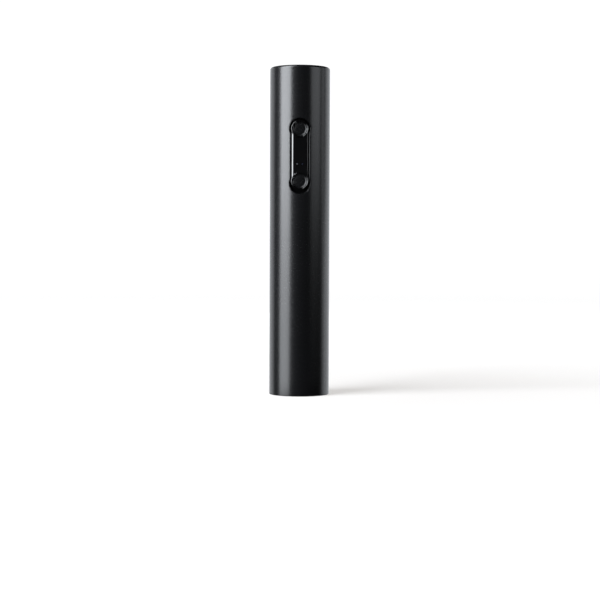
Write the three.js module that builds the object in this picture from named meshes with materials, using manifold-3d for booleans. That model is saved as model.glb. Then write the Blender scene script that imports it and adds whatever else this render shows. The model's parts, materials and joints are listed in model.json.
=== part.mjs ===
// Electric wine opener: a straight matte cylinder that stands on a bottle neck.
// Millimetres, +Z up, base rim at z = 0, control panel facing -Y, tube axis on x = y = 0.
import * as THREE from 'three';
import { mergeVertices } from 'three/addons/utils/BufferGeometryUtils.js';
import Module from 'manifold-3d';

const wasm = await Module();
wasm.setup();

// ---- overall size -------------------------------------------------------------
const BODY_R = 22.5;            // outside radius of the tube
const BODY_IN = 21.1;           // inside radius of the tube
const BODY_TOP = 242.8;         // upper end of the tube, the cap sits on it
const HEIGHT = 245;
const CAP_FILLET = 1.2;
const FIT_R = 20.8;             // radius of everything that slides into the tube

// ---- control panel ------------------------------------------------------------
const UP_Z = 197.8;             // height of the upper button
const DOWN_Z = 159.5;           // height of the lower button
const WINDOW_TOP_Z = 198.0;     // centre of the round upper end of the recess
const WINDOW_LOW_Z = 157.7;     // centre of the round lower end of the recess
const WINDOW_R = 7.75;          // radius of both round ends
const WINDOW_HALF = 7.0;        // half width of the straight strip
const ISLAND_HALF = 5.85;       // half width of the raised glossy strip
const ISLAND_BEVEL = 0.95;
const BUTTON_R = 5.3;
const BUTTON_BORE = 5.6;
const COLLAR_R = 6.6;
const LIGHT_Z = 172.0;          // indicator lights
const LIGHT_X = 2.0;

// ---- bottle end ---------------------------------------------------------------
const GUIDE_Z0 = 0.6, GUIDE_Z1 = 33.0;
const NECK_R = 15.1;            // radius over the centring ribs
const PAD_Z = 30.3;             // face the bottle lip stops against
const SCREW_R = 18.4;           // pitch radius of the sleeve screws
const SCREW_ANGLES = [90, 210, 330];

// ---- worm and its drive -------------------------------------------------------
const LEAD = 8.5;               // worm pitch and guide groove lead, right handed
const STROKE_TURNS = 4;
const LUG_Z = 113.3;            // height of the first guide lug, raised position
const GROOVE_R = 2.45;
const GROOVE_AT = 16.0;         // radius of the groove's centreline
const LUG_END = 16.8;
const BORE_R = 15.6;            // guide tube bore
const WORM_R = 3.3;             // radius of the worm's wire centreline
const WIRE_R = 1.45;
const TIP_Z = 35.6;

// ---- gear train ---------------------------------------------------------------
const MODULE = 0.85;
const PRESSURE = 25 * Math.PI / 180;
const SUN_T = 9, PLANET_T = 12, RING_T = 33;
const CENTRE = MODULE * (SUN_T + PLANET_T) / 2;   // 8.925
const PIN_R = 1.5, PLANET_BORE = 1.85;
const PLANET_ANGLES = [0, 120, 240];
const RING_R = 16.7;
const PLATE_R = 13.0;

// ---- power pack ---------------------------------------------------------------
const CELL_R = 7.1, CELL_X = 7.5, CELL_Y = 4.0, CELL_Z0 = 185.5, CELL_Z1 = 234.5;
const PORT_Z = 215;
const BOSS_X = 17.3, BOSS_Z = [168, 236.6];

// ---- shape helpers --------------------------------------------------------------
function solid(geometry) {
  geometry.deleteAttribute('normal');
  geometry.deleteAttribute('uv');
  const merged = mergeVertices(geometry, 1e-4);
  const index = merged.index.array;
  const tris = [];
  for (let i = 0; i < index.length; i += 3) {
    const [a, b, c] = [index[i], index[i + 1], index[i + 2]];
    if (a !== b && b !== c && a !== c) tris.push(a, b, c);
  }
  return new wasm.Manifold(new wasm.Mesh({
    numProp: 3,
    vertProperties: new Float32Array(merged.attributes.position.array),
    triVerts: new Uint32Array(tris),
  }));
}

const rad = (deg) => deg * Math.PI / 180;
const turnZ = (m, deg) => m.rotate([0, 0, deg]);

// Body of revolution about Z from [radius, z] points, outside edge running upwards.
function lathe(points, segments) {
  const closed = points[0][0] > 0 || points[points.length - 1][0] > 0;
  const list = closed ? [...points, points[0]] : points;
  const g = new THREE.LatheGeometry(list.map(([r, z]) => new THREE.Vector2(r, z)), segments);
  return solid(g.rotateX(Math.PI / 2));
}

function disc(r, z0, z1, segments) {
  const g = new THREE.CylinderGeometry(r, r, z1 - z0, segments);
  return solid(g.rotateX(Math.PI / 2).translate(0, 0, (z0 + z1) / 2));
}

// Round bar along Y, from y0 to y1, centred on (x, z).
function barY(r, y0, y1, x, z, segments) {
  const g = new THREE.CylinderGeometry(r, r, y1 - y0, segments);
  return solid(g.translate(x, (y0 + y1) / 2, z));
}

// Round bar along X, from x0 to x1, centred on (y, z).
function barX(r, x0, x1, y, z, segments) {
  const g = new THREE.CylinderGeometry(r, r, x1 - x0, segments);
  return solid(g.rotateZ(Math.PI / 2).translate((x0 + x1) / 2, y, z));
}

function block(x0, x1, y0, y1, z0, z1) {
  const g = new THREE.BoxGeometry(x1 - x0, y1 - y0, z1 - z0);
  return solid(g.translate((x0 + x1) / 2, (y0 + y1) / 2, (z0 + z1) / 2));
}

const outline = (points) => new THREE.Shape(points.map(([x, y]) => new THREE.Vector2(x, y)));

// Plan outline drawn in x, y and raised from z0 to z1.
function prismZ(points, z0, z1, hole) {
  const shape = outline(points);
  if (hole) shape.holes.push(new THREE.Path(hole.map(([x, y]) => new THREE.Vector2(x, y))));
  const g = new THREE.ExtrudeGeometry(shape, { depth: z1 - z0, bevelEnabled: false });
  return solid(g.translate(0, 0, z0));
}

// Front outline drawn in x, z and run from y0 to y1.
function prismY(points, y0, y1) {
  const g = new THREE.ExtrudeGeometry(outline(points), { depth: y1 - y0, bevelEnabled: false });
  return solid(g.rotateX(Math.PI / 2).translate(0, y1, 0));
}

const circle = (r, n, cx = 0, cy = 0, phase = 0) => Array.from({ length: n }, (_, i) => {
  const a = phase + 2 * Math.PI * i / n;
  return [cx + r * Math.cos(a), cy + r * Math.sin(a)];
});

// Upright slot with round ends at zLow and zHigh.
function pill(r, zLow, zHigh, n) {
  const pts = [];
  for (let i = 0; i <= n; i++) pts.push([r * Math.cos(Math.PI * i / n), zHigh + r * Math.sin(Math.PI * i / n)]);
  for (let i = 0; i <= n; i++) pts.push([-r * Math.cos(Math.PI * i / n), zLow - r * Math.sin(Math.PI * i / n)]);
  return pts;
}

// Lying slot with round ends, total width w and height h, centred on z.
function stadium(w, h, z, n) {
  const r = h / 2, d = w / 2 - r, pts = [];
  for (let i = 0; i <= n; i++) pts.push([d + r * Math.sin(Math.PI * i / n), z - r * Math.cos(Math.PI * i / n)]);
  for (let i = 0; i <= n; i++) pts.push([-d - r * Math.sin(Math.PI * i / n), z + r * Math.cos(Math.PI * i / n)]);
  return pts;
}

class Helix extends THREE.Curve {
  constructor(radius, lead, z0, from, to) {
    super();
    Object.assign(this, { radius, lead, z0, from, to });
  }
  getPoint(t, target = new THREE.Vector3()) {
    const a = this.from + (this.to - this.from) * t;
    return target.set(this.radius * Math.cos(a), this.radius * Math.sin(a), this.z0 + this.lead * a / (2 * Math.PI));
  }
}

function coil(wire, sides, radius, z0, from, to, stepsPerTurn) {
  const path = new Helix(radius, LEAD, z0, from, to);
  const steps = Math.ceil(Math.abs(to - from) / (2 * Math.PI) * stepsPerTurn);
  return solid(new THREE.ExtrudeGeometry(outline(circle(wire, sides)), { steps, extrudePath: path, bevelEnabled: false }));
}

// Gear outline with straight tooth flanks laid on the involute at tip and root.
const inv = (a) => Math.tan(a) - a;
function gear(teeth, thicker, inner, outer, phase) {
  const pitch = MODULE * teeth / 2, base = pitch * Math.cos(PRESSURE);
  const half = (r) => (Math.PI * MODULE / 2 + thicker) / (2 * pitch) + inv(PRESSURE) - inv(Math.acos(Math.min(1, base / Math.max(r, base))));
  const pts = [];
  for (let i = 0; i < teeth; i++) {
    const c = phase + 2 * Math.PI * i / teeth;
    for (const [r, a] of [[inner, -half(inner)], [outer, -half(outer)], [outer, half(outer)], [inner, half(inner)]]) {
      pts.push([r * Math.cos(c + a), r * Math.sin(c + a)]);
    }
  }
  return pts;
}
const TIP_H = 0.8 * MODULE, ROOT_H = 1.05 * MODULE, THIN = -0.1;
const sunOutline = gear(SUN_T, THIN, MODULE * SUN_T / 2 - ROOT_H, MODULE * SUN_T / 2 + TIP_H, 0);
const planetOutline = (deg) => gear(PLANET_T, THIN, MODULE * PLANET_T / 2 - ROOT_H, MODULE * PLANET_T / 2 + TIP_H, rad(deg + 195));
const ringSpaces = gear(RING_T, 0.1, MODULE * RING_T / 2 - TIP_H, MODULE * RING_T / 2 + ROOT_H, Math.PI / RING_T);

// Small pan-head screw pointing down, head resting on z = 0, hexagonal socket.
function screw(length, headR = 1.8, headH = 1.2) {
  const body = lathe([[0, -length], [1.0, -length], [1.0, 0], [headR, 0], [headR, headH], [0, headH]], 10);
  return body.subtract(prismZ(circle(0.9, 6), headH * 0.4, headH + 1));
}

// ---- colours --------------------------------------------------------------------
const FINISH = {
  body: [0x17181a, 0.45, 0.0],
  gloss: [0x0b0b0c, 0.08, 0.0],
  button: [0x141516, 0.3, 0.0],
  inner: [0x2a2c2f, 0.6, 0.0],
  rubber: [0x4b4e52, 0.85, 0.0],
  clear: [0xdfe6ea, 0.15, 0.0],
  acetal: [0xe8e6df, 0.5, 0.0],
  steel: [0xb9bcc0, 0.3, 1.0],
  dark_steel: [0x6f7276, 0.4, 1.0],
  bronze: [0xa9773b, 0.45, 1.0],
  copper: [0x8c5a3a, 0.4, 1.0],
  zinc: [0xa5a8ab, 0.45, 1.0],
  magnet: [0x3a3a3d, 0.6, 0.3],
  board: [0x155a34, 0.5, 0.0],
  chip: [0x161618, 0.5, 0.0],
  cell: [0x2f6fa8, 0.35, 0.0],
  nickel: [0xc9c6bf, 0.3, 1.0],
  light: [0xf4f1e4, 0.3, 0.0],
};

const root = new THREE.Group();
root.name = 'electric_wine_opener';
function piece(name, body, finish) {
  const mesh = body.getMesh();
  const g = new THREE.BufferGeometry();
  g.setAttribute('position', new THREE.BufferAttribute(new Float32Array(mesh.vertProperties), 3));
  g.setIndex(new THREE.BufferAttribute(new Uint32Array(mesh.triVerts), 1));
  g.computeVertexNormals();
  const [color, roughness, metalness] = FINISH[finish];
  const m = new THREE.Mesh(g, new THREE.MeshStandardMaterial({ color, roughness, metalness }));
  m.name = name;
  root.add(m);
}

// ---- outer case -----------------------------------------------------------------
const windowCut = (grow, y0, y1) => prismY(pill(WINDOW_HALF + grow, WINDOW_LOW_Z, WINDOW_TOP_Z, 10), y0, y1)
  .add(barY(WINDOW_R + grow, y0, y1, 0, WINDOW_TOP_Z, 20))
  .add(barY(WINDOW_R + grow, y0, y1, 0, WINDOW_LOW_Z, 20));

piece('body_tube', lathe([[BODY_IN, 0], [BODY_R - 0.5, 0], [BODY_R, 0.5], [BODY_R, BODY_TOP], [BODY_IN, BODY_TOP]], 40)
  .subtract(windowCut(0, -24, -15))
  .subtract(prismY(stadium(9.6, 3.8, PORT_Z, 6), 15, 24)), 'body');

const F = CAP_FILLET;
piece('top_cap', lathe([[0, 243.1], [19.3, 243.1], [19.3, 239.5], [FIT_R, 239.5], [FIT_R, BODY_TOP + 0.1], [BODY_R, BODY_TOP + 0.1],
  [BODY_R, HEIGHT - F], [BODY_R - F * 0.293, HEIGHT - F * 0.293], [BODY_R - F, HEIGHT], [0, HEIGHT]], 40), 'body');

// ---- bottle end -----------------------------------------------------------------
let guide = lathe([[18.6, GUIDE_Z0], [FIT_R, GUIDE_Z0], [FIT_R, GUIDE_Z1], [19.3, GUIDE_Z1], [19.3, 7], [17.6, 7], [17.6, GUIDE_Z1], [16.0, GUIDE_Z1], [16.0, 6]], 32);
for (const a of [0, 60, 120, 180, 240, 300]) {
  guide = guide.add(turnZ(prismY([[NECK_R, 30], [NECK_R, 9], [16.35, 5.2], [16.8, 5.2], [16.8, 30]].reverse(), -0.8, 0.8), a + 30));
}
for (const a of SCREW_ANGLES) guide = guide.add(turnZ(disc(2.0, 20, GUIDE_Z1, 12).translate([SCREW_R, 0, 0]), a));
for (const a of SCREW_ANGLES) guide = guide.subtract(turnZ(disc(1.2, 24, GUIDE_Z1 + 1, 10).translate([SCREW_R, 0, 0]), a));
piece('neck_guide', guide, 'inner');

piece('lip_pad', lathe([[12.9, PAD_Z], [15.7, PAD_Z], [15.7, 33.0], [12.6, 33.0], [12.6, 33.0 - 2.4]], 28), 'rubber');

let sleeve = lathe([[13.2, 33.3], [20.7, 33.3], [20.7, 36.3], [15.2, 36.3], [15.2, 70.7], [20.7, 70.7], [20.7, 73.7], [13.2, 73.7]], 28);
for (const a of [45, 135, 225, 315]) {
  sleeve = sleeve.add(turnZ(prismY([[11.9, 68], [11.9, 40], [13.0, 36], [13.9, 36], [13.9, 72], [13.0, 72]].reverse(), -0.7, 0.7), a));
}
for (const a of SCREW_ANGLES) sleeve = sleeve.subtract(turnZ(disc(1.25, 33, 37, 10).translate([SCREW_R, 0, 0]), a));
piece('cork_sleeve', sleeve, 'inner');

SCREW_ANGLES.forEach((a, i) => piece(`guide_screw_${i + 1}`, turnZ(screw(9).translate([SCREW_R, 0, 36.45]), a), 'dark_steel'));

// ---- worm, its carrier and the tube that guides it --------------------------------
const groove = coil(GROOVE_R, 6, GROOVE_AT, LUG_Z, -(2 * Math.PI * STROKE_TURNS + 0.25), Math.PI + 0.25, 12);
piece('guide_tube', lathe([[BORE_R, 74], [20.7, 74], [20.7, 76], [19.5, 76], [19.5, 122], [20.7, 122], [20.7, 124], [BORE_R, 124]], 24)
  .subtract(groove), 'acetal');

const hexagon = (flats) => circle(flats / 2 / Math.cos(Math.PI / 6), 6);
piece('drive_cage', lathe([[13.3, 74.3], [15.3, 74.3], [15.3, 123.6], [3.0, 123.6], [3.0, 120.6], [13.3, 120.6]], 24)
  .subtract(prismZ(hexagon(7.6), 120, 124.5))
  .subtract(block(12, 17, -1.8, 1.8, 77.5, 119.3))
  .subtract(block(-17, -12, -1.8, 1.8, 77.5, 119.3)), 'zinc');

piece('screw_carrier', lathe([[4.9, 111], [13.0, 111], [13.0, 120], [0, 120], [0, 116], [4.9, 116]], 24)
  .add(barX(1.4, 12, LUG_END, 0, LUG_Z, 10))
  .add(barX(1.4, -LUG_END, -12, 0, LUG_Z + LEAD / 2, 10)), 'steel');

const wormFrom = (33.2 - 70) / LEAD * 2 * Math.PI, wormTo = (111.6 - 70) / LEAD * 2 * Math.PI;
piece('corkscrew', coil(WIRE_R, 6, WORM_R, 70, wormFrom, wormTo, 9)
  .subtract(block(-9, 9, -9, 9, 28, TIP_Z))
  .add(disc(4.6, 111.3, 115.7, 16)), 'steel');

// ---- gear train -------------------------------------------------------------------
piece('gearbox_end_plate', lathe([[6.3, 124.3], [20.7, 124.3], [20.7, 127.3], [6.3, 127.3]], 28), 'zinc');
piece('output_bushing', lathe([[4.8, 124.3], [6.0, 124.3], [6.0, 127.3], [4.8, 127.3]], 16), 'bronze');
piece('ring_gear', prismZ(circle(RING_R, 36), 127.6, 152.8, ringSpaces)
  .add(block(16.0, 18.3, -2, 2, 127.6, 152.8)).add(block(-18.3, -16.0, -2, 2, 127.6, 152.8)), 'acetal');

const pins = (z0, z1) => PLANET_ANGLES.map((a) => turnZ(disc(PIN_R, z0, z1, 8).translate([CENTRE, 0, 0]), a));
function carrier(plate0, plate1, pinTop) {
  let c = disc(PLATE_R, plate0, plate1, 24);
  for (const p of pins(plate1 - 0.5, pinTop)) c = c.add(p);
  return c;
}
piece('output_carrier', carrier(128.0, 130.5, 137.5).add(disc(4.5, 124, 128.5, 14)).add(prismZ(hexagon(7.0), 120.9, 124.5)), 'steel');
piece('stage2_carrier', carrier(137.8, 139.8, 145.3).add(prismZ(sunOutline, 131.0, 138)), 'steel');
piece('stage1_carrier', carrier(145.6, 147.6, 152.6).add(prismZ(sunOutline, 140.3, 146)), 'steel');
const stages = [['stage1_planet', 147.9, 152.4], ['stage2_planet', 140.1, 145.1], ['stage3_planet', 130.8, 137.3]];
for (const [name, z0, z1] of stages) {
  PLANET_ANGLES.forEach((a, i) => piece(`${name}_${i + 1}`,
    prismZ(planetOutline(a), z0, z1, circle(PLANET_BORE, 8)).translate([CENTRE * Math.cos(rad(a)), CENTRE * Math.sin(rad(a)), 0]),
    name === 'stage3_planet' ? 'steel' : 'acetal'));
}
piece('motor_pinion', prismZ(sunOutline, 147.9, 152.7, circle(1.3, 8)), 'bronze');

// ---- motor --------------------------------------------------------------------------
const motorBolt = [-8, 8];
let plate = lathe([[3.2, 153.0], [15.2, 153.0], [15.2, 155.4], [3.2, 155.4]], 24);
let can = lathe([[1.6, 155.7], [12.2, 155.7], [12.2, 182.0], [11.3, 182.0], [11.3, 156.9], [1.6, 156.9]], 24);
for (const x of motorBolt) {
  plate = plate.subtract(disc(2.1, 152, 154.5, 12).translate([x, 0, 0])).subtract(disc(1.25, 154, 156, 10).translate([x, 0, 0]));
  can = can.subtract(disc(1.25, 155, 158, 10).translate([x, 0, 0]));
}
piece('motor_plate', plate, 'zinc');
piece('motor_can', can, 'nickel');
motorBolt.forEach((x, i) => piece(`motor_screw_${i + 1}`, screw(4.0).rotate([180, 0, 0]).translate([x, 0, 154.4]), 'dark_steel'));
piece('motor_end_cap', lathe([[1.6, 182.3], [12.2, 182.3], [12.2, 184.2], [11.4, 185], [1.6, 185]], 24), 'inner');

let core = disc(8.6, 160, 178, 24);
for (const a of [60, 180, 300]) {
  core = core.subtract(turnZ(prismZ([[3.3, -0.8], [6.7, -4.2], [7.4, -2.0], [7.5, -0.7], [9.5, -0.7], [9.5, 0.7], [7.5, 0.7], [7.4, 2.0], [6.7, 4.2], [3.3, 0.8]], 159, 179), a));
}
piece('armature', core.add(disc(1.15, 148, 184, 12)).add(disc(3.0, 177.5, 181.4, 12)), 'copper');
const arc = (r0, r1, a0, a1, n) => {
  const pts = [];
  for (let i = 0; i <= n; i++) { const a = rad(a0 + (a1 - a0) * i / n); pts.push([r1 * Math.cos(a), r1 * Math.sin(a)]); }
  for (let i = n; i >= 0; i--) { const a = rad(a0 + (a1 - a0) * i / n); pts.push([r0 * Math.cos(a), r0 * Math.sin(a)]); }
  return pts;
};
piece('magnet_1', prismZ(arc(9.2, 11.0, 25, 155, 10), 160, 178), 'magnet');
piece('magnet_2', prismZ(arc(9.2, 11.0, 205, 335, 10), 160, 178), 'magnet');

// ---- inner frame: two halves screwed together around motor, gears and cells ------------
const cellHoles = (z0, z1) => disc(CELL_R + 0.4, z0, z1, 14).translate([CELL_X, CELL_Y, 0]).add(disc(CELL_R + 0.4, z0, z1, 14).translate([-CELL_X, CELL_Y, 0]));
function ribbedShell() {
  let s = lathe([[19.2, 128], [FIT_R, 128], [FIT_R, 239.2], [19.2, 239.2]], 28);
  for (const [z0, r] of [[131, 17.0], [146.4, 17.0], [157.4, 12.6], [177, 12.6]]) {
    s = s.add(lathe([[r, z0], [19.6, z0], [19.6, z0 + 1.4], [r, z0 + 1.4]], 28));
  }
  for (const z0 of [190, 226]) {
    s = s.add(disc(19.6, z0, z0 + 1.4, 28).subtract(cellHoles(z0 - 1, z0 + 3)).subtract(block(-4, 4, -9, 10.4, z0 - 1, z0 + 3)));
  }
  for (const x of [-1, 1]) {
    s = s.subtract(block(Math.min(x * 16, x * 18.7), Math.max(x * 16, x * 18.7), -2.4, 2.4, 127, 153.2));
  }
  return s;
}
const shell = ribbedShell();
const bosses = [];
for (const z of BOSS_Z) for (const x of [-BOSS_X, BOSS_X]) bosses.push([x, z]);

let front = shell.subtract(block(-30, 30, -0.2, 30, 100, 260));
let rear = shell.subtract(block(-30, 30, -30, 0.2, 100, 260));
for (const [x, z] of bosses) {
  front = front.add(barY(2.4, -5.2, -0.2, x, z, 10)).subtract(barY(2.1, -16, -5.2, x, z, 8)).subtract(barY(1.25, -6, 1, x, z, 10));
  rear = rear.add(barY(2.4, 0.2, 6.6, x, z, 10)).subtract(barY(1.25, -1, 5.6, x, z, 10));
}
front = front.subtract(prismY(pill(9.6, WINDOW_LOW_Z, WINDOW_TOP_Z, 8), -24, -16.4))
  .subtract(block(-8.3, 8.3, -17, -12.4, 155.8, 207.4));
for (const x of [-1, 1]) rear = rear.add(block(Math.min(x * 7.3, x * 9), Math.max(x * 7.3, x * 9), 11.7, 18.6, 207, 223));
rear = rear.subtract(block(-5.4, 5.4, 14, 24, PORT_Z - 2.6, PORT_Z + 2.6));
piece('front_frame', front, 'inner');
piece('rear_frame', rear, 'inner');
bosses.forEach(([x, z], i) => piece(`frame_screw_${i + 1}`, screw(10.2, 1.8, 1.2).rotate([90, 0, 0]).translate([x, -5.35, z]), 'dark_steel'));

// ---- cells and charging socket -----------------------------------------------------------
const cell = lathe([[0, 0], [7.1, 0], [7.1, 47.6], [6.7, 48], [2.7, 48], [2.7, 49], [0, 49]], 16);
piece('battery_cell_1', cell.translate([-CELL_X, CELL_Y, CELL_Z0]), 'cell');
piece('battery_cell_2', cell.rotate([180, 0, 0]).translate([CELL_X, CELL_Y, CELL_Z1]), 'cell');
piece('cell_link', block(-10.5, 10.5, 1.5, 6.5, 234.7, 235.0), 'nickel');
piece('charge_board', block(-7, 7, 12.0, 13.2, 205, 225), 'board');
piece('charge_port', prismY(stadium(8.94, 3.26, PORT_Z, 6), 13.25, 20.3)
  .subtract(prismY(stadium(8.3, 2.62, PORT_Z, 6), 14.6, 21))
  .add(block(-3.35, 3.35, 14.0, 19.3, PORT_Z - 0.35, PORT_Z + 0.35)), 'nickel');

// ---- control electronics --------------------------------------------------------------------
piece('control_board', block(-8, 8, -14.3, -12.9, 156.2, 207), 'board');
piece('driver_chip', block(-2.6, 2.6, -15.5, -14.35, 178, 184), 'chip');
for (const [name, z] of [['up', UP_Z], ['down', DOWN_Z]]) {
  piece(`${name}_switch`, block(-3, 3, -15.3, -14.35, z - 3, z + 3).subtract(barY(1.55, -17, -14, 0, z, 12)), 'nickel');
  piece(`${name}_plunger`, barY(1.2, -16.3, -15.35, 0, z, 12), 'chip');
}
[-LIGHT_X, LIGHT_X].forEach((x, i) => piece(`indicator_led_${i + 1}`, block(x - 0.9, x + 0.9, -15.2, -14.35, LIGHT_Z - 0.6, LIGHT_Z + 0.6), 'light'));
piece('light_guide', block(-3.6, 3.6, -17.0, -16.2, LIGHT_Z - 1.4, LIGHT_Z + 1.4)
  .add(barY(0.5, -21.62, -16.5, -LIGHT_X, LIGHT_Z, 10)).add(barY(0.5, -21.62, -16.5, LIGHT_X, LIGHT_Z, 10)), 'clear');

// ---- control panel and its buttons -------------------------------------------------------------
const islandShape = outline(pill(ISLAND_HALF - ISLAND_BEVEL, DOWN_Z, UP_Z, 12));
const island = solid(new THREE.ExtrudeGeometry(islandShape, { depth: 2.7, bevelEnabled: true, bevelThickness: 0.7, bevelSize: ISLAND_BEVEL, bevelSegments: 1 })
  .rotateX(Math.PI / 2).translate(0, -18.3, 0));
let panel = prismY(pill(9, WINDOW_LOW_Z, WINDOW_TOP_Z, 12), -18.5, -17.3).add(island);
for (const z of [UP_Z, DOWN_Z]) panel = panel.add(barY(COLLAR_R, -22.0, -18, 0, z, 20));
for (const z of [UP_Z, DOWN_Z]) panel = panel.subtract(barY(BUTTON_BORE, -24, -16, 0, z, 16));
for (const x of [-LIGHT_X, LIGHT_X]) panel = panel.subtract(barY(0.8, -24, -16, x, LIGHT_Z, 10));
piece('control_panel', panel, 'gloss');

// Dished button, drawn standing on its flange and turned to face the front.
const button = lathe([[0, 0], [6.2, 0], [6.2, 0.6], [BUTTON_R, 0.6], [BUTTON_R, 5.6], [BUTTON_R - 0.6, 5.6], [0, 5.1]], 16)
  .rotate([90, 0, 0]);
piece('up_button', button.translate([0, -16.4, UP_Z]), 'button');
piece('down_button', button.translate([0, -16.4, DOWN_Z]), 'button');

export default root;
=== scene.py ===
# Looks of the electric wine opener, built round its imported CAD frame. Metres in the scene, millimetres in the tables below.
import json
import math
import bpy
import bmesh
from mathutils import Matrix, Vector
from mathutils.geometry import delaunay_2d_cdt


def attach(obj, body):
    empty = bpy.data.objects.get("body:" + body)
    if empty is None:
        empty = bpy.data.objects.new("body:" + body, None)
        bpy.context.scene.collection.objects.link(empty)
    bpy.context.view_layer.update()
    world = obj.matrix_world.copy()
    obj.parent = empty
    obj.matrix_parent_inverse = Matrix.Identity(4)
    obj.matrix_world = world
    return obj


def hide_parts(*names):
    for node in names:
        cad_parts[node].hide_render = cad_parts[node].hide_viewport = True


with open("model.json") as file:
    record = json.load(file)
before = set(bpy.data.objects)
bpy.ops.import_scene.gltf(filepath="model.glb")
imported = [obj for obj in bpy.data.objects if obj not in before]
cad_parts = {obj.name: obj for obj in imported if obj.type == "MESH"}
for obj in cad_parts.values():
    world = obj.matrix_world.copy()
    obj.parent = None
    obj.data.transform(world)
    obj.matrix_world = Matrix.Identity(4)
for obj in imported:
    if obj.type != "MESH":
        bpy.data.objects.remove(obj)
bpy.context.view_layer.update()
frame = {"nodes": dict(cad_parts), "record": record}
MM = 0.001
COL = bpy.context.scene.collection

# ---- sizes, in mm, as in the CAD part ---------------------------------------------
R, R_IN, TUBE_TOP, HEIGHT = 22.5, 21.1, 242.8, 245.0
UP_Z, DOWN_Z = 197.8, 159.5
WIN_TOP, WIN_LOW, WIN_R, WIN_HALF = 198.0, 157.7, 7.75, 7.0
PORT_Z = 215.0
LIGHT_Z, LIGHT_X = 172.0, 2.0
LEAD, WORM_R, WIRE_R, TIP_Z = 8.5, 3.3, 1.45, 35.6


# ---- camera ------------------------------------------------------------------------
cam_data = bpy.data.cameras.new("camera")
cam_data.lens = 88.5
cam_data.sensor_width = 36.0
cam_data.clip_start = 0.01
cam_data.clip_end = 50.0
cam = bpy.data.objects.new("camera", cam_data)
COL.objects.link(cam)
PITCH, ROLL = math.radians(2.13), math.radians(0.216)
cam.matrix_world = (Matrix.Translation((0.00053, -1.112, 0.1122))
                    @ Matrix.Rotation(math.pi / 2 - PITCH, 4, "X") @ Matrix.Rotation(ROLL, 4, "Z"))
bpy.context.scene.camera = cam
bpy.context.scene.view_settings.view_transform = "Standard"
bpy.context.scene.view_settings.look = "None"


# ---- materials -----------------------------------------------------------------------
def shader(name):
    m = bpy.data.materials.new(name)
    m.use_nodes = True
    nt = m.node_tree
    nt.nodes.clear()
    out = nt.nodes.new("ShaderNodeOutputMaterial")
    bsdf = nt.nodes.new("ShaderNodeBsdfPrincipled")
    nt.links.new(bsdf.outputs[0], out.inputs[0])
    return m, nt, bsdf


def coords(nt, scale=(1, 1, 1)):
    tc = nt.nodes.new("ShaderNodeTexCoord")
    mp = nt.nodes.new("ShaderNodeMapping")
    mp.inputs["Scale"].default_value = scale
    nt.links.new(tc.outputs["Object"], mp.inputs["Vector"])
    return mp.outputs[0]


def noise(nt, vec, scale, detail=3.0, rough=0.55):
    n = nt.nodes.new("ShaderNodeTexNoise")
    n.inputs["Scale"].default_value = scale
    n.inputs["Detail"].default_value = detail
    n.inputs["Roughness"].default_value = rough
    nt.links.new(vec, n.inputs["Vector"])
    return n.outputs[0]


def remap(nt, value, lo, hi, a=0.3, b=0.7):
    n = nt.nodes.new("ShaderNodeMapRange")
    n.inputs["From Min"].default_value = a
    n.inputs["From Max"].default_value = b
    n.inputs["To Min"].default_value = lo
    n.inputs["To Max"].default_value = hi
    nt.links.new(value, n.inputs["Value"])
    return n.outputs[0]


def ramp(nt, value, stops):
    n = nt.nodes.new("ShaderNodeValToRGB")
    e = n.color_ramp.elements
    e[0].position, e[0].color = stops[0][0], (*stops[0][1], 1)
    e[1].position, e[1].color = stops[1][0], (*stops[1][1], 1)
    for p, c in stops[2:]:
        k = e.new(p)
        k.color = (*c, 1)
    nt.links.new(value, n.inputs[0])
    return n.outputs[0]


def bump(nt, bsdf, height, distance, strength=1.0):
    n = nt.nodes.new("ShaderNodeBump")
    n.inputs["Distance"].default_value = distance
    n.inputs["Strength"].default_value = strength
    nt.links.new(height, n.inputs["Height"])
    nt.links.new(n.outputs[0], bsdf.inputs["Normal"])


def moulded(name, dark, light, rough, spread=0.04, grain=3000, depth=0.000004, spec=0.5, metallic=0.0, coat=0.0, coat_rough=0.1, stretch=(1, 1, 1), blotch=60):
    """Moulded, coated or cast surface: slow colour drift, fine roughness change and a fine grain."""
    m, nt, b = shader(name)
    b.inputs["Metallic"].default_value = metallic
    b.inputs["Specular IOR Level"].default_value = spec
    b.inputs["Coat Weight"].default_value = coat
    b.inputs["Coat Roughness"].default_value = coat_rough
    v = coords(nt, stretch)
    slow = noise(nt, v, blotch, 2.0)
    nt.links.new(ramp(nt, slow, [(0.3, dark), (0.7, light)]), b.inputs["Base Color"])
    fine = noise(nt, v, grain, 2.0)
    nt.links.new(remap(nt, noise(nt, v, grain * 0.25, 3.0), rough - spread, rough + spread), b.inputs["Roughness"])
    bump(nt, b, fine, depth, 0.6)
    return m


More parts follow.
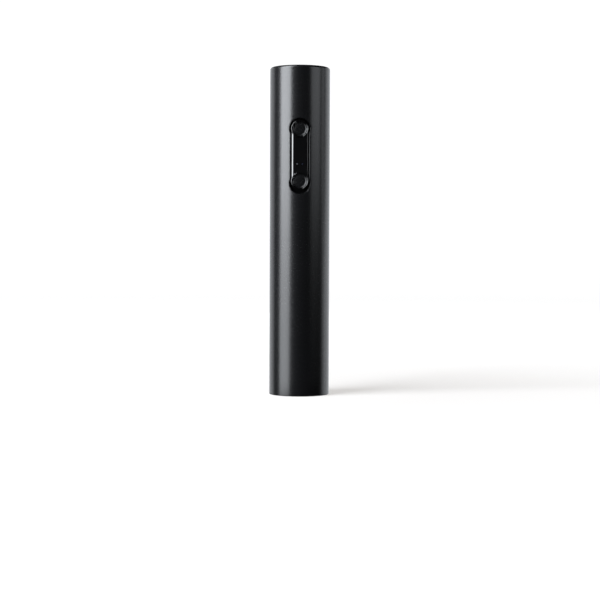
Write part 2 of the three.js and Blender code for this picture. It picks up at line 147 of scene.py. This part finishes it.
MAT = {
    "soft_touch_black": moulded("soft_touch_black", (0.0036, 0.0037, 0.0041), (0.0047, 0.0048, 0.0053), 0.262, 0.014, 5200, 0.0000011, 0.5, blotch=35),
    "gloss_black": moulded("gloss_black", (0.0022, 0.0022, 0.0024), (0.0030, 0.0030, 0.0032), 0.085, 0.02, 900, 0.0000008, 0.5, coat=0.6, coat_rough=0.03),
    "button_black": moulded("button_black", (0.0030, 0.0031, 0.0034), (0.0044, 0.0045, 0.0048), 0.25, 0.04, 2400, 0.0000025, 0.5),
    "inner_black": moulded("inner_black", (0.016, 0.0165, 0.0175), (0.021, 0.0215, 0.0225), 0.55, 0.05, 2600, 0.000008, 0.5),
    "silicone_grey": moulded("silicone_grey", (0.062, 0.066, 0.072), (0.078, 0.082, 0.088), 0.72, 0.05, 1800, 0.000008, 0.4),
    "white_acetal": moulded("white_acetal", (0.74, 0.73, 0.69), (0.80, 0.79, 0.75), 0.42, 0.05, 1600, 0.000004, 0.5),
    "steel": moulded("steel", (0.50, 0.505, 0.515), (0.60, 0.605, 0.61), 0.20, 0.06, 1400, 0.0000015, 0.5, metallic=1.0, stretch=(1, 1, 0.12)),
    "dark_steel": moulded("dark_steel", (0.10, 0.102, 0.108), (0.15, 0.152, 0.158), 0.34, 0.06, 1800, 0.000002, 0.5, metallic=1.0),
    "cast_alloy": moulded("cast_alloy", (0.42, 0.425, 0.43), (0.50, 0.505, 0.51), 0.46, 0.06, 2600, 0.00001, 0.5, metallic=1.0),
    "bronze": moulded("bronze", (0.40, 0.23, 0.085), (0.50, 0.30, 0.12), 0.40, 0.06, 3200, 0.000006, 0.5, metallic=1.0),
    "magnet": moulded("magnet", (0.030, 0.030, 0.032), (0.050, 0.050, 0.053), 0.62, 0.06, 1500, 0.00001, 0.4),
    "nickel": moulded("nickel", (0.56, 0.54, 0.50), (0.64, 0.62, 0.58), 0.24, 0.05, 1500, 0.000002, 0.5, metallic=1.0, stretch=(1, 1, 0.2)),
    "board_green": moulded("board_green", (0.008, 0.075, 0.028), (0.012, 0.105, 0.042), 0.38, 0.05, 700, 0.000012, 0.5),
    "chip_black": moulded("chip_black", (0.010, 0.010, 0.011), (0.016, 0.016, 0.017), 0.5, 0.05, 3000, 0.000006, 0.5),
    "cell_wrap": moulded("cell_wrap", (0.018, 0.10, 0.29), (0.026, 0.13, 0.36), 0.26, 0.04, 300, 0.00001, 0.5, stretch=(1, 1, 0.3)),
    "clear_plastic": moulded("clear_plastic", (0.10, 0.105, 0.115), (0.14, 0.145, 0.155), 0.30, 0.05, 1200, 0.000003, 0.5),
}
def light_tips():
    """Frosted clear plastic with painted light: a colour ramp across X paints the left tip pale as a painted highlight
    and the unlit right tip dark and bluish as painted shade.
    """
    m, nt, b = shader("light_tips")
    tc = nt.nodes.new("ShaderNodeTexCoord")
    sep = nt.nodes.new("ShaderNodeSeparateXYZ")
    nt.links.new(tc.outputs["Object"], sep.inputs[0])
    v = coords(nt)
    # painted light: pale on the left (X < 0) as a painted highlight, dark bluish on the right (X > 0) as painted shade
    side = remap(nt, sep.outputs["X"], 0.0, 1.0, -0.001, 0.001)
    nt.links.new(ramp(nt, side, [(0.0, (0.11, 0.112, 0.115)), (1.0, (0.012, 0.015, 0.030))]), b.inputs["Base Color"])
    nt.links.new(remap(nt, noise(nt, v, 1200), 0.26, 0.38), b.inputs["Roughness"])
    b.inputs["Subsurface Weight"].default_value = 0.2
    b.inputs["Subsurface Scale"].default_value = 0.0005
    bump(nt, b, noise(nt, v, 4200), 0.000004, 0.6)
    return m


MAT["light_tips"] = light_tips()
for sub in frame["record"]["subparts"]:
    node = frame["nodes"].get(sub["node"])
    if node is not None:
        node.data.materials.clear()
        node.data.materials.append(MAT[sub["material_slot"]])


# ---- mesh helpers ------------------------------------------------------------------------
def make(name, verts, faces, slot, body, replaces=(), sharp=32.0, weld=0.0002):
    """A piece from points in mm. Faces meeting at more than sharp degrees keep a crisp edge."""
    bm = bmesh.new()
    vs = [bm.verts.new(Vector(v) * MM) for v in verts]
    for f in faces:
        if len(set(f)) > 2:
            try:
                bm.faces.new([vs[i] for i in f])
            except ValueError:
                pass
    bmesh.ops.remove_doubles(bm, verts=bm.verts, dist=weld * MM * 10)
    return finish_piece(name, bm, slot, body, replaces, sharp)


def finish_piece(name, bm, slot, body, replaces=(), sharp=32.0, finish=None):
    bmesh.ops.recalc_face_normals(bm, faces=bm.faces)
    limit = math.radians(sharp)
    for e in bm.edges:
        e.smooth = len(e.link_faces) == 2 and e.calc_face_angle(0.0) < limit
    for f in bm.faces:
        f.smooth = True
    me = bpy.data.meshes.new(name)
    bm.to_mesh(me)
    bm.free()
    o = bpy.data.objects.new(name, me)
    COL.objects.link(o)
    me.materials.append(MAT[finish or slot])
    if body:
        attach(o, body)
        if replaces:
            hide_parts(*replaces)
    return o


def ring_points(r, z, n, phase=0.0):
    return [(r * math.sin(phase + 2 * math.pi * i / n), -r * math.cos(phase + 2 * math.pi * i / n), z) for i in range(n)]


def lathe(profile, n, verts=None, faces=None, closed=True):
    """Body of revolution from (radius, z) points; points on the axis become one vertex."""
    verts = [] if verts is None else verts
    faces = [] if faces is None else faces
    rings = []
    for r, z in profile:
        if r < 1e-6:
            verts.append((0, 0, z))
            rings.append([len(verts) - 1] * n)
        else:
            start = len(verts)
            verts.extend(ring_points(r, z, n))
            rings.append(list(range(start, start + n)))
    pairs = list(zip(rings, rings[1:] + rings[:1])) if closed else list(zip(rings, rings[1:]))
    for a, b in pairs:
        for i in range(n):
            j = (i + 1) % n
            f = []
            for k in (a[i], a[j], b[j], b[i]):
                if k not in f:
                    f.append(k)
            if len(f) > 2:
                faces.append(f)
    return verts, faces


def arc(cx, cz, r, a0, a1, n):
    """Points on an arc in the profile plane, angles in degrees, 0 along +radius and 90 up."""
    return [(cx + r * math.cos(math.radians(a0 + (a1 - a0) * i / n)), cz + r * math.sin(math.radians(a0 + (a1 - a0) * i / n))) for i in range(n + 1)]


def to_front(verts, z):
    """Turns points drawn about Z so that their axis points out of the front, centred on height z."""
    return [(x, -h, z + y) for x, y, h in verts]


def boolean(target, cutter, operation):
    mod = target.modifiers.new("cut", "BOOLEAN")
    mod.solver = "EXACT"
    mod.operation = operation
    mod.object = cutter
    dg = bpy.context.evaluated_depsgraph_get()
    me = bpy.data.meshes.new_from_object(target.evaluated_get(dg))
    target.modifiers.clear()
    old = target.data
    target.data = me
    bpy.data.meshes.remove(old)
    bpy.data.objects.remove(cutter)


def raw(name, verts, faces):
    bm = bmesh.new()
    vs = [bm.verts.new(Vector(v) * MM) for v in verts]
    for f in faces:
        if len(set(f)) > 2:
            try:
                bm.faces.new([vs[i] for i in f])
            except ValueError:
                pass
    bmesh.ops.remove_doubles(bm, verts=bm.verts, dist=1e-7)
    bmesh.ops.recalc_face_normals(bm, faces=bm.faces)
    me = bpy.data.meshes.new(name)
    bm.to_mesh(me)
    bm.free()
    o = bpy.data.objects.new(name, me)
    COL.objects.link(o)
    return o


def settle(o, slot, body, replaces=(), sharp=32.0, smooth_weld=1e-7, finish=None):
    """Finishes a piece made by booleans."""
    bm = bmesh.new()
    bm.from_mesh(o.data)
    bmesh.ops.remove_doubles(bm, verts=bm.verts, dist=smooth_weld)
    name = o.name
    bpy.data.objects.remove(o)
    return finish_piece(name, bm, slot, body, replaces, sharp, finish)


# ---- body shell: seamless tube with the control recess and the port hole -------------------
def keyhole(n=40):
    """Closed outline of the recess, front view, (x, z), anticlockwise seen from the front."""
    t = math.pi - math.asin(WIN_HALF / WIN_R)
    pts = []
    for i in range(n + 1):
        a = -t + 2 * t * i / n
        pts.append((-WIN_R * math.sin(a), WIN_TOP + WIN_R * math.cos(a)))
    zt, zb = pts[-1][1], WIN_LOW - (pts[-1][1] - WIN_TOP)
    m = 18
    for i in range(1, m):
        pts.append((-WIN_HALF, zt + (zb - zt) * i / m))
    for i in range(n + 1):
        a = -t + 2 * t * i / n
        pts.append((WIN_R * math.sin(a), WIN_LOW - WIN_R * math.cos(a)))
    for i in range(1, m):
        pts.append((WIN_HALF, zb + (zt - zb) * i / m))
    return pts


def port_outline(w, h, z, n=12):
    r, d, pts = h / 2, w / 2 - h / 2, []
    for i in range(n + 1):
        a = math.pi * i / n
        pts.append((d + r * math.sin(a), z - r * math.cos(a)))
    for i in range(n + 1):
        a = math.pi * i / n
        pts.append((-d - r * math.sin(a), z + r * math.cos(a)))
    return pts


def offset(points, d):
    """The outline moved outwards by d, with the normals averaged over both neighbours."""
    n, out = len(points), []
    area = sum(points[i][0] * points[(i + 1) % n][1] - points[(i + 1) % n][0] * points[i][1] for i in range(n))
    s = 1 if area > 0 else -1
    for i in range(n):
        (x0, z0), (x1, z1) = points[i - 1], points[(i + 1) % n]
        tx, tz = x1 - x0, z1 - z0
        k = math.hypot(tx, tz)
        out.append((points[i][0] + s * tz / k * d, points[i][1] - s * tx / k * d))
    return out


def inside(p, poly):
    x, y = p
    hit = False
    for i in range(len(poly)):
        (x0, y0), (x1, y1) = poly[i - 1], poly[i]
        if (y0 > y) != (y1 > y) and x < (x1 - x0) * (y - y0) / (y1 - y0) + x0:
            hit = not hit
    return hit


def near(p, poly):
    return min((p[0] - q[0]) ** 2 + (p[1] - q[1]) ** 2 for q in poly)


N = 180
STEP = 2 * math.pi / N
ROWS = [0.5 + (144 - 0.5) * i / 12 for i in range(13)] + [144 + 1.5 * i for i in range(1, 54)] + [228.5, 234, 238.5, TUBE_TOP]
HOLES = [  # first column, last column, lowest and highest z of the patch, outline, back side
    (-15, 15, 145.5, 210.0, keyhole(), False),
    (81, 99, 208.5, 222.0, port_outline(9.6, 3.8, PORT_Z), True),
]


def skin(radius, loops, verts, faces):
    """The cylinder wall of that radius as a grid, with each patch filled round its hole. Returns the index loops of the holes."""
    base = len(verts)
    for z in ROWS:
        verts.extend(ring_points(radius, z, N))
    idx = lambda row, col: base + row * N + col % N
    patches = []
    for (c0, c1, z0, z1, outline, back), loop in zip(HOLES, loops):
        r0 = min(range(len(ROWS)), key=lambda k: abs(ROWS[k] - z0))
        r1 = min(range(len(ROWS)), key=lambda k: abs(ROWS[k] - z1))
        patches.append((c0, c1, r0, r1))
    for row in range(len(ROWS) - 1):
        for col in range(N):
            covered = False
            for c0, c1, r0, r1 in patches:
                if r0 <= row < r1 and (c0 <= col < c1 or c0 <= col - N < c1):
                    covered = True
            if not covered:
                faces.append((idx(row, col), idx(row, col + 1), idx(row + 1, col + 1), idx(row + 1, col)))
    rims = []
    for (c0, c1, z0, z1, outline, back), (_, _, r0, r1), loop in zip(HOLES, patches, loops):
        centre = math.pi if back else 0.0
        flat, where = [], []
        edges = []

        def add(u, z, index):
            flat.append(Vector((u, z)))
            where.append(index)
            return len(flat) - 1

        # hole outline in unrolled coordinates
        start = len(verts)
        ring = []
        for x, z in loop:
            phi = math.asin(x / radius)
            if back:
                phi = math.pi - phi
            verts.append((radius * math.sin(phi), -radius * math.cos(phi), z))
            ring.append(add((phi - centre) * radius, z, len(verts) - 1))
        rim = list(range(start, start + len(loop)))
        hole_flat = [tuple(flat[k]) for k in ring]
        edges += [(ring[i], ring[(i + 1) % len(ring)]) for i in range(len(ring))]
        border = []
        for row in range(r0, r1 + 1):
            for col in range(c0, c1 + 1):
                u = (col * STEP - centre) * radius
                z = ROWS[row]
                if row in (r0, r1) or col in (c0, c1):
                    add(u, z, idx(row, col))
                elif not inside((u, z), hole_flat) and near((u, z), hole_flat) > 0.55 ** 2:
                    add(u, z, idx(row, col))
        out = delaunay_2d_cdt(flat, edges, [], 0, 1e-5)
        pv, pf, orig = out[0], out[2], out[3]
        back_to = {}
        for k, o in enumerate(orig):
            back_to[k] = where[o[0]] if o else None
        for f in pf:
            mid = (sum(pv[i][0] for i in f) / len(f), sum(pv[i][1] for i in f) / len(f))
            if not inside(mid, hole_flat):
                ids = [back_to[i] for i in f]
                if None not in ids:
                    faces.append(tuple(ids))
        rims.append(rim)
    return base, rims


def build_shell():
    verts, faces = [], []
    lip = 0.34
    outer_loops = [offset(keyhole(), lip), offset(port_outline(9.6, 3.8, PORT_Z), 0.2)]
    inner_loops = [keyhole(), port_outline(9.6, 3.8, PORT_Z)]
    base_o, rims_o = skin(R, outer_loops, verts, faces)
    base_i, rims_i = skin(R_IN, inner_loops, verts, faces)
    # rounded lips and walls of the two holes
    for (c0, c1, z0, z1, outline, back), r_lip, rim_o, rim_i in zip(HOLES, (lip, 0.2), rims_o, rims_i):
        side = 1.0 if back else -1.0
        last = rim_o
        for k in range(1, 6):
            a = math.pi / 2 * k / 5
            pts = offset(outline, r_lip * (1 - math.sin(a)))
            depth = r_lip * (1 - math.cos(a))
            start = len(verts)
            for x, z in pts:
                verts.append((x, side * (math.sqrt(R * R - x * x) - depth), z))
            now = list(range(start, start + len(pts)))
            for i in range(len(now)):
                j = (i + 1) % len(now)
                faces.append((last[i], last[j], now[j], now[i]))
            last = now
        for i in range(len(last)):
            j = (i + 1) % len(last)
            faces.append((last[i], last[j], rim_i[j], rim_i[i]))
    # lower rim: rounded outside corner, flat ring, small inner chamfer; upper rim: flat ring under the cap
    low = [(R - 0.5 + 0.5 * math.cos(math.radians(a)), 0.5 - 0.5 * math.sin(math.radians(a))) for a in (18, 36, 54, 72, 90)] + [(21.32, 0.0), (21.18, 0.06), (R_IN, 0.2)]
    last = [base_o + c for c in range(N)]
    for r, z in low:
        start = len(verts)
        verts.extend(ring_points(r, z, N))
        now = list(range(start, start + N))
        for i in range(N):
            j = (i + 1) % N
            faces.append((last[i], last[j], now[j], now[i]))
        last = now
    for i in range(N):
        j = (i + 1) % N
        faces.append((last[i], last[j], base_i + j, base_i + i))
        top_o, top_i = base_o + (len(ROWS) - 1) * N, base_i + (len(ROWS) - 1) * N
        faces.append((top_o + i, top_o + j, top_i + j, top_i + i))
    return verts, faces


v, f = build_shell()
make("body_shell", v, f, "soft_touch_black", "housing", ("body_tube",), sharp=40)

# ---- top cap, flush with the tube --------------------------------------------------------------
v, f = lathe([(0, 243.1), (19.3, 243.1), (19.3, 239.5), (20.8, 239.5), (20.8, TUBE_TOP), (R, TUBE_TOP)]
             + arc(R - 1.8, HEIGHT - 1.8, 1.8, 0, 90, 12) + [(19.0, HEIGHT), (14.0, HEIGHT), (8.0, HEIGHT), (0, HEIGHT)], N, closed=False)
make("cap", v, f, "soft_touch_black", "housing", ("top_cap",), sharp=40)


# ---- control panel ------------------------------------------------------------------------------
def pill(r, z_low, z_high, n=28):
    pts = []
    for i in range(n + 1):
        a = math.pi * i / n
        pts.append((r * math.cos(a), z_high + r * math.sin(a)))
    for i in range(n + 1):
        a = math.pi * i / n
        pts.append((-r * math.cos(a), z_low - r * math.sin(a)))
    return pts


def loft(outlines):
    """Closed solid through outlines, each a (list of (x, z), y)."""
    verts, faces, n = [], [], len(outlines[0][0])
    for pts, y in outlines:
        verts.extend((x, y, z) for x, z in pts)
    for k in range(len(outlines) - 1):
        for i in range(n):
            j = (i + 1) % n
            faces.append((k * n + i, k * n + j, (k + 1) * n + j, (k + 1) * n + i))
    faces.append(tuple(range(n)))
    faces.append(tuple(range((len(outlines) - 1) * n, len(outlines) * n)))
    return verts, faces


H = 5.85
profile = [(H, -17.9), (H, -21.22), (H - 0.04, -21.33), (H - 0.14, -21.40)] + [(5.06, -21.65), (4.96, -21.685), (4.82, -21.70)]
v, f = loft([(pill(r, DOWN_Z, UP_Z), y) for r, y in profile])
panel = raw("panel", v, f)
v, f = loft([(pill(r, WIN_LOW, WIN_TOP), y) for r, y in [(8.9, -17.3), (9.0, -17.4), (9.0, -18.4), (8.9, -18.5)]])
boolean(panel, raw("flange", v, f), "UNION")
for z in (UP_Z, DOWN_Z):
    v, f = lathe([(0, 15), (5.78, 15), (5.78, 25), (0, 25)], 96, closed=False)
    boolean(panel, raw("bore", to_front(v, z), f), "DIFFERENCE")
for z in (UP_Z, DOWN_Z):
    v, f = lathe([(5.6, 17.7), (6.5, 17.7), (6.5, 21.45)] + arc(6.0, 21.45, 0.5, 0, 143, 14)[1:] + [(5.6, 21.0)], 96)
    boolean(panel, raw("collar", to_front(v, z), f), "UNION")
for x in (-LIGHT_X, LIGHT_X):
    v, f = lathe([(0, 15), (0.8, 15), (0.8, 25), (0, 25)], 32, closed=False)
    boolean(panel, raw("light_hole", [(p[0] + x, p[1], p[2]) for p in to_front(v, LIGHT_Z)], f), "DIFFERENCE")
settle(panel, "gloss_black", "housing", ("control_panel",), sharp=28)

# ---- buttons: dished face, rounded edge, retaining flange -----------------------------------------
for name, z in (("up", UP_Z), ("down", DOWN_Z)):
    face = [(5.12, 21.46)] + arc(5.04, 21.5, 0.08, 0, 90, 4)[1:] + [(4.92, 21.585), (4.80, 21.57), (4.66, 21.50), (4.54, 21.42), (4.40, 21.345), (4.24, 21.31), (4.05, 21.305)]
    face += [(3.9 * math.cos(math.radians(a)), 21.315 + 0.22 * math.sin(math.radians(a))) for a in (10, 20, 30, 40, 50, 60, 70, 80)] + [(0, 21.536)]
    v, f = lathe([(0, 16.4), (6.1, 16.4), (6.2, 16.5), (6.2, 16.9), (6.1, 17.0), (5.12, 17.0)] + face, 96, closed=False)
    make(f"{name}_key", to_front(v, z), f, "button_black", f"{name}_control", (f"{name}_button",), sharp=34)

# ---- light guide with two frosted tips ---------------------------------------------------------------
v, f = loft([([(-3.5, LIGHT_Z - 1.3), (3.5, LIGHT_Z - 1.3), (3.5, LIGHT_Z + 1.3), (-3.5, LIGHT_Z + 1.3)], -16.2),
             ([(-3.6, LIGHT_Z - 1.4), (3.6, LIGHT_Z - 1.4), (3.6, LIGHT_Z + 1.4), (-3.6, LIGHT_Z + 1.4)], -16.3),
             ([(-3.6, LIGHT_Z - 1.4), (3.6, LIGHT_Z - 1.4), (3.6, LIGHT_Z + 1.4), (-3.6, LIGHT_Z + 1.4)], -16.9),
             ([(-3.5, LIGHT_Z - 1.3), (3.5, LIGHT_Z - 1.3), (3.5, LIGHT_Z + 1.3), (-3.5, LIGHT_Z + 1.3)], -17.0)])
guide = raw("light_pipe", v, f)
for x in (-LIGHT_X, LIGHT_X):
    v, f = lathe([(0, 16.6), (0.5, 16.6), (0.5, 21.5), (0.45, 21.58), (0.33, 21.62), (0, 21.63)], 32, closed=False)
    boolean(guide, raw("tip", [(p[0] + x, p[1], p[2]) for p in to_front(v, LIGHT_Z)], f), "UNION")
settle(guide, "clear_plastic", "housing", ("light_guide",), finish="light_tips")

# ---- bottle end: funnel, lip pad, cork sleeve ------------------------------------------------------------
M = 144
funnel = [(18.9, 0.6), (20.6, 0.6), (20.8, 0.8), (20.8, 33.0), (19.3, 33.0), (19.3, 7.0), (17.6, 7.0), (17.6, 33.0), (16.0, 33.0), (16.0, 6.6)]
funnel += [(16.06, 5.9), (16.25, 5.1), (16.6, 4.2), (17.1, 3.2), (17.65, 2.2), (18.2, 1.35), (18.55, 0.85)]
v, f = lathe(funnel, M)
funnel_obj = raw("neck_funnel", v, f)


def radial_plate(points, half, angle):
    """Plate from (radius, z) points, standing along a radius at that angle."""
    c, s = math.cos(math.radians(angle)), math.sin(math.radians(angle))
    n = len(points)
    verts = [(r * c - w * s, r * s + w * c, z) for w in (-half, half) for r, z in points]
    faces = [tuple(range(n)), tuple(range(n, 2 * n))] + [(i, (i + 1) % n, n + (i + 1) % n, n + i) for i in range(n)]
    return verts, faces


for a in range(30, 390, 60):
    v, f = radial_plate([(15.35, 30.0), (15.1, 29.75), (15.1, 10.5), (15.25, 9.2), (16.35, 5.2), (16.8, 5.2), (16.8, 30.0)], 0.8, a)
    boolean(funnel_obj, raw("rib", v, f), "UNION")
for a in (90, 210, 330):
    c, s = 18.4 * math.cos(math.radians(a)), 18.4 * math.sin(math.radians(a))
    v, f = lathe([(0, 20), (2.0, 20), (2.0, 33.0), (0, 33.0)], 32, closed=False)
    boolean(funnel_obj, raw("boss", [(x + c, y + s, z) for x, y, z in v], f), "UNION")
    v, f = lathe([(0, 24), (1.2, 24), (1.2, 34.0), (0, 34.0)], 24, closed=False)
    boolean(funnel_obj, raw("hole", [(x + c, y + s, z) for x, y, z in v], f), "DIFFERENCE")
settle(funnel_obj, "inner_black", "housing", ("neck_guide",))

v, f = lathe([(13.1, 30.3), (15.4, 30.3), (15.62, 30.38), (15.7, 30.6), (15.7, 32.8), (15.5, 33.0), (12.9, 33.0), (12.65, 32.85), (12.6, 32.5), (12.6, 30.8), (12.72, 30.45)], M)
make("lip_ring", v, f, "silicone_grey", "housing", ("lip_pad",))

sleeve = [(13.5, 33.3), (20.5, 33.3), (20.7, 33.5), (20.7, 36.1), (20.5, 36.3), (15.6, 36.3), (15.2, 36.8), (15.2, 70.2), (15.6, 70.7), (20.7, 70.7), (20.7, 73.7), (13.2, 73.7), (13.2, 34.0), (13.28, 33.6)]
v, f = lathe(sleeve, M)
sleeve_obj = raw("sleeve", v, f)
for a in (45, 135, 225, 315):
    v, f = radial_plate([(11.9, 67.6), (11.9, 40.4), (12.1, 39.2), (13.0, 36.0), (13.9, 36.0), (13.9, 72.0), (13.0, 72.0), (12.1, 68.8)], 0.7, a)
    boolean(sleeve_obj, raw("rib", v, f), "UNION")
for a in (90, 210, 330):
    c, s = 18.4 * math.cos(math.radians(a)), 18.4 * math.sin(math.radians(a))
    v, f = lathe([(0, 33), (1.25, 33), (1.25, 37), (0, 37)], 24, closed=False)
    boolean(sleeve_obj, raw("hole", [(x + c, y + s, z) for x, y, z in v], f), "DIFFERENCE")
settle(sleeve_obj, "inner_black", "housing", ("cork_sleeve",))


# ---- worm: polished wire with a tapered point ---------------------------------------------------------------
def worm():
    verts, faces = [], []
    side, per_turn = 20, 48
    a0, a1 = (35.9 - 70) / LEAD * 2 * math.pi, (111.7 - 70) / LEAD * 2 * math.pi
    steps = int((a1 - a0) / (2 * math.pi) * per_turn)
    slope = math.atan2(LEAD, 2 * math.pi * WORM_R)
    taper = 9.0
    rings = []
    for k in range(steps + 1):
        a = a0 + (a1 - a0) * k / steps
        run = (a - a0) * WORM_R / math.cos(slope)
        q = min(1.0, run / taper)
        r = WIRE_R * max(0.03, q ** 0.62)
        # the point runs out along the outside of the coil
        rc = WORM_R + (1 - q) * 0.15
        z = 70 + LEAD * a / (2 * math.pi)
        t = Vector((-math.sin(a) * math.cos(slope), math.cos(a) * math.cos(slope), math.sin(slope)))
        n = Vector((math.cos(a), math.sin(a), 0))
        b = t.cross(n)
        centre = Vector((rc * math.cos(a), rc * math.sin(a), z))
        start = len(verts)
        for i in range(side):
            w = 2 * math.pi * i / side
            verts.append(tuple(centre + n * r * math.cos(w) + b * r * math.sin(w)))
        rings.append(range(start, start + side))
    for p, q in zip(rings, rings[1:]):
        for i in range(side):
            j = (i + 1) % side
            faces.append((p[i], p[j], q[j], q[i]))
    faces.append(tuple(rings[0]))
    faces.append(tuple(rings[-1]))
    return verts, faces


v, f = worm()
worm_obj = raw("worm", v, f)
v, f = lathe([(0, 111.3), (4.3, 111.3), (4.6, 111.6), (4.6, 115.4), (4.3, 115.7), (0, 115.7)], 64, closed=False)
boolean(worm_obj, raw("shank", v, f), "UNION")
settle(worm_obj, "steel", "screw", ("corkscrew",))


# ---- charging socket -------------------------------------------------------------------------------------------
def lying(w, h, z, n=14):
    return port_outline(w, h, z, n)


shell_len = [(lying(8.74, 3.06, PORT_Z), 13.25), (lying(8.94, 3.26, PORT_Z), 13.35), (lying(8.94, 3.26, PORT_Z), 20.2), (lying(8.84, 3.16, PORT_Z), 20.3)]
v, f = loft(shell_len)
socket = raw("socket", v, f)
v, f = loft([(lying(8.3, 2.62, PORT_Z), 14.6), (lying(8.3, 2.62, PORT_Z), 20.1), (lying(8.44, 2.76, PORT_Z), 20.35)])
boolean(socket, raw("mouth", v, f), "DIFFERENCE")
t = 0.35
tongue = lambda grow: [(-3.35 + grow, PORT_Z - t + grow), (3.35 - grow, PORT_Z - t + grow), (3.35 - grow, PORT_Z + t - grow), (-3.35 + grow, PORT_Z + t - grow)]
v, f = loft([(tongue(0), 14.0), (tongue(0), 19.15), (tongue(0.12), 19.3)])
boolean(socket, raw("tongue", v, f), "UNION")
settle(socket, "nickel", "housing", ("charge_port",))


# ---- stage: floor curving up into a backdrop -----------------------------------------------------------------------
def stage_material():
    m = bpy.data.materials.new("paper")
    m.use_nodes = True
    nt = m.node_tree
    nt.nodes.clear()
    out = nt.nodes.new("ShaderNodeOutputMaterial")
    mix = nt.nodes.new("ShaderNodeAddShader")
    em = nt.nodes.new("ShaderNodeEmission")
    di = nt.nodes.new("ShaderNodeBsdfDiffuse")
    tc = nt.nodes.new("ShaderNodeTexCoord")
    away = nt.nodes.new("ShaderNodeVectorMath")
    away.operation = "LENGTH"
    nt.links.new(tc.outputs["Object"], away.inputs[0])
    # painted shade: the floor's glow is darkest (0.60) within 0.1 m of the object's base as a painted contact shadow,
    # rising to white (0.95) from 0.9 m out
    far = remap(nt, away.outputs["Value"], 0.0, 1.0, 0.1, 0.9)
    painted_base_shade = ramp(nt, far, [(0.0, (0.60, 0.585, 0.57)), (1.0, (0.95, 0.95, 0.95))])
    nt.links.new(painted_base_shade, em.inputs["Color"])
    em.inputs["Strength"].default_value = 1.0
    di.inputs["Color"].default_value = (0.35, 0.345, 0.34, 1)
    nt.links.new(em.outputs[0], mix.inputs[0])
    nt.links.new(di.outputs[0], mix.inputs[1])
    nt.links.new(mix.outputs[0], out.inputs[0])
    return m


verts, faces = [], []
path = [(0.12 * i, 0.0) for i in range(1, 18)] + [(2.1 + 0.7 * math.sin(math.radians(a)), 0.7 - 0.7 * math.cos(math.radians(a))) for a in range(6, 91, 6)] + [(2.8, 1.6), (2.8, 3.4)]
for radius, z in path:
    verts += [(radius * math.cos(2 * math.pi * k / 96), radius * math.sin(2 * math.pi * k / 96), z) for k in range(96)]
faces.append(tuple(range(96)))
for i in range(len(path) - 1):
    for k in range(96):
        j = (k + 1) % 96
        faces.append((96 * i + k, 96 * i + 96 + k, 96 * i + 96 + j, 96 * i + j))
me = bpy.data.meshes.new("sweep")
me.from_pydata(verts, [], faces)
for p in me.polygons:
    p.use_smooth = True
sweep = bpy.data.objects.new("sweep", me)
COL.objects.link(sweep)
me.materials.append(stage_material())
sweep.visible_glossy = False
sweep.visible_shadow = False
sweep.visible_diffuse = False


def lamp(name, loc, target, w, h, power, color=(1, 1, 1), shadow=True):
    d = bpy.data.lights.new(name, "AREA")
    d.shape = "RECTANGLE"
    d.size, d.size_y = w, h
    d.energy = power
    d.color = color
    o = bpy.data.objects.new(name, d)
    COL.objects.link(o)
    o.location = loc
    o.rotation_euler = (Vector(target) - Vector(loc)).to_track_quat("-Z", "Y").to_euler()
    return o


def around(az, dist, z):
    """Azimuth 0 is the camera's side, positive to the right."""
    return (dist * math.sin(math.radians(az)), -dist * math.cos(math.radians(az)), z)


COOL = (0.92, 0.955, 1.0)
lamp("key", around(-56.5, 1.3, 0.60), (0, 0, 0.25), 1.08, 0.92, 39.5, COOL)
lamp("key_low", around(-59.5, 1.3, -0.09), (0, 0, 0.05), 0.98, 0.46, 8.3, COOL)
lamp("key_top", around(-50, 0.9, 1.15), (0, 0, 0.22), 0.8, 0.34, 13, COOL)
lamp("fill_right", around(63, 1.5, 0.50), (0, 0, 0.25), 1.06, 0.52, 3.8, COOL)
lamp("side_high", around(98, 1.3, 0.45), (0, 0, 0.25), 0.40, 0.55, 0.75, COOL)
lamp("side_low", around(108, 1.3, -0.1), (0, 0, 0.05), 0.5, 0.5, 0.85, COOL)
lamp("rim_left", around(-135, 1.2, 0.2), (0, 0, 0.13), 0.9, 1.1, 3.9, COOL)
lamp("rim_right", around(135, 1.2, 0.2), (0, 0, 0.13), 0.9, 1.1, 3.9, COOL)
lamp("back", around(180, 1.3, 0.25), (0, 0, 0.13), 1.2, 0.9, 4.5, COOL)

world = bpy.data.worlds.new("world")
world.use_nodes = True
world.node_tree.nodes["Background"].inputs[0].default_value = (0.95, 0.97, 1.0, 1)
world.node_tree.nodes["Background"].inputs[1].default_value = 0.006
bpy.context.scene.world = world
